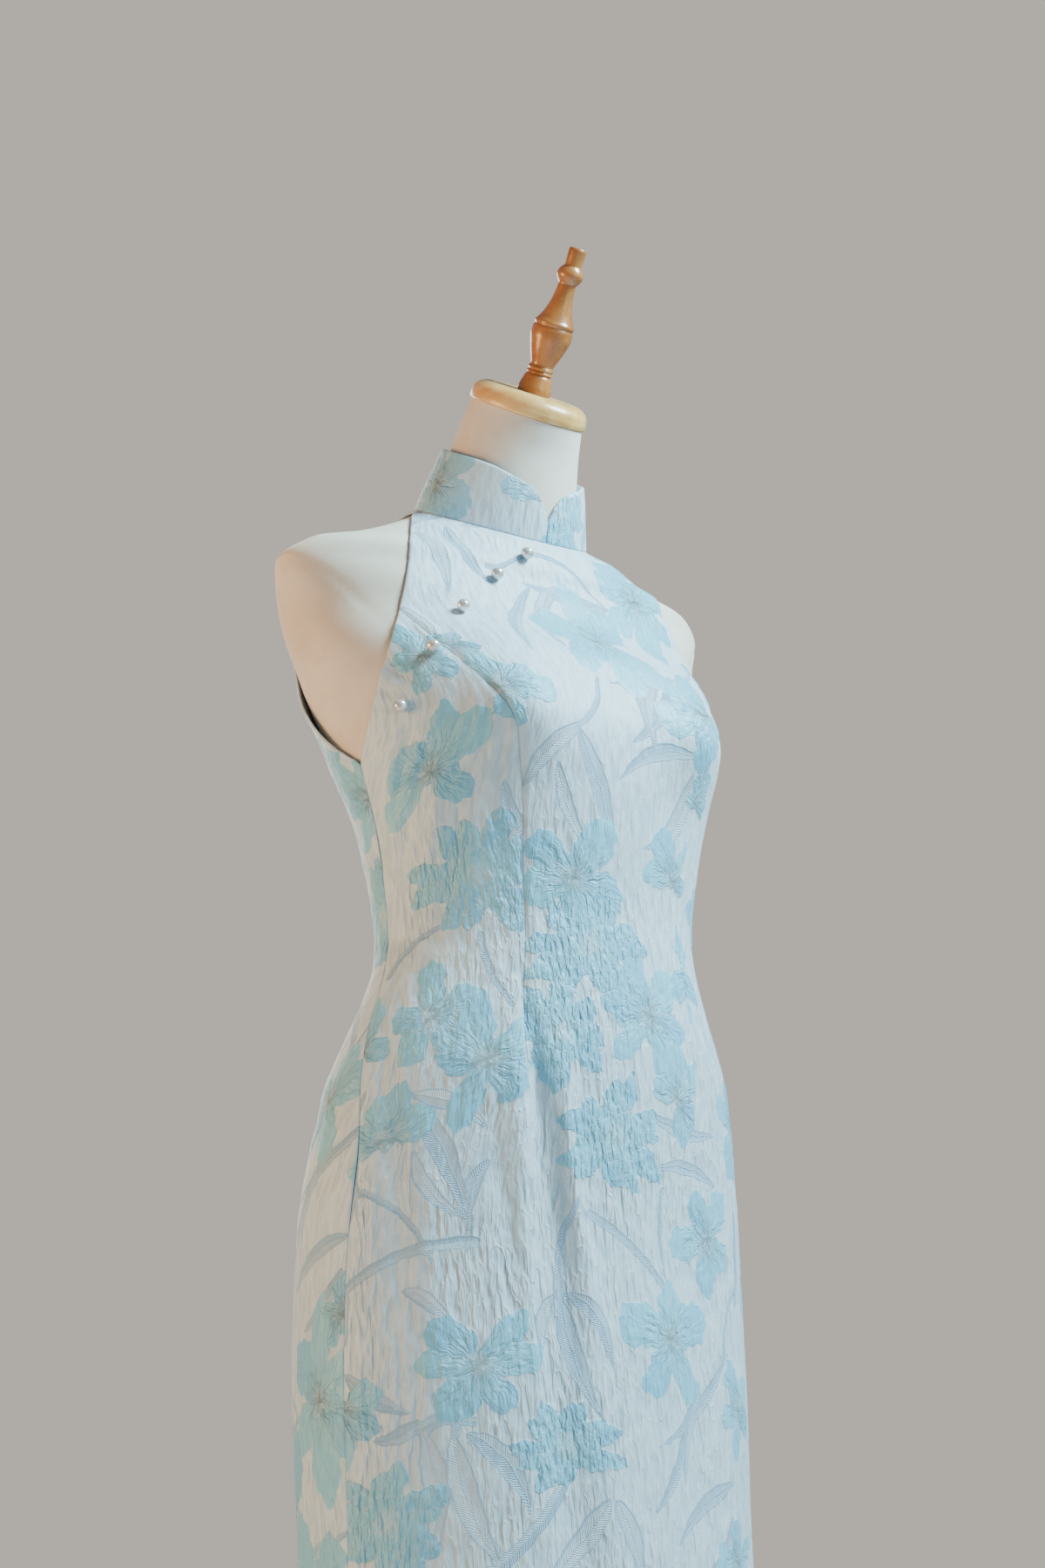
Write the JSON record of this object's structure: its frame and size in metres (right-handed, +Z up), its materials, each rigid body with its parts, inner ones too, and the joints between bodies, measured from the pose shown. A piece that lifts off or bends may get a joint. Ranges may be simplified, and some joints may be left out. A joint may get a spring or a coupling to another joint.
{
  "type": "cheongsam dress on a dress form",
  "caption": "Sleeveless stand-collar cheongsam with long bust darts and slanting pearl buttons, on a limbless dress form with a round stand.",
  "frame": {"origin": "centre of the underside of the stand's round foot, on the pole's axis", "axes": "+Z up the pole; the dress faces -Y; +X is the wearer's left"},
  "size_m": [0.3882, 0.34, 1.6037],
  "materials": {
    "dress_cloth": "satin-faced crinkled jacquard, pale ice blue with aqua flowers",
    "pearl": "pearl lustre",
    "form_cover": "smooth off-white cover",
    "light_wood": "satin varnish",
    "dark_wood": "gloss varnish",
    "stand_steel": "brushed"
  },
  "bodies": {
    "root": {"front": "dress_cloth", "back_left": "dress_cloth", "back_right": "dress_cloth", "collar_left": "dress_cloth", "collar_right": "dress_cloth", "button_1": "pearl", "button_2": "pearl", "button_3": "pearl", "button_4": "pearl", "button_5": "pearl", "torso": "form_cover", "neck_cap": "light_wood", "finial": "dark_wood", "pole": "stand_steel", "base": "light_wood"}
  },
  "joints": []
}
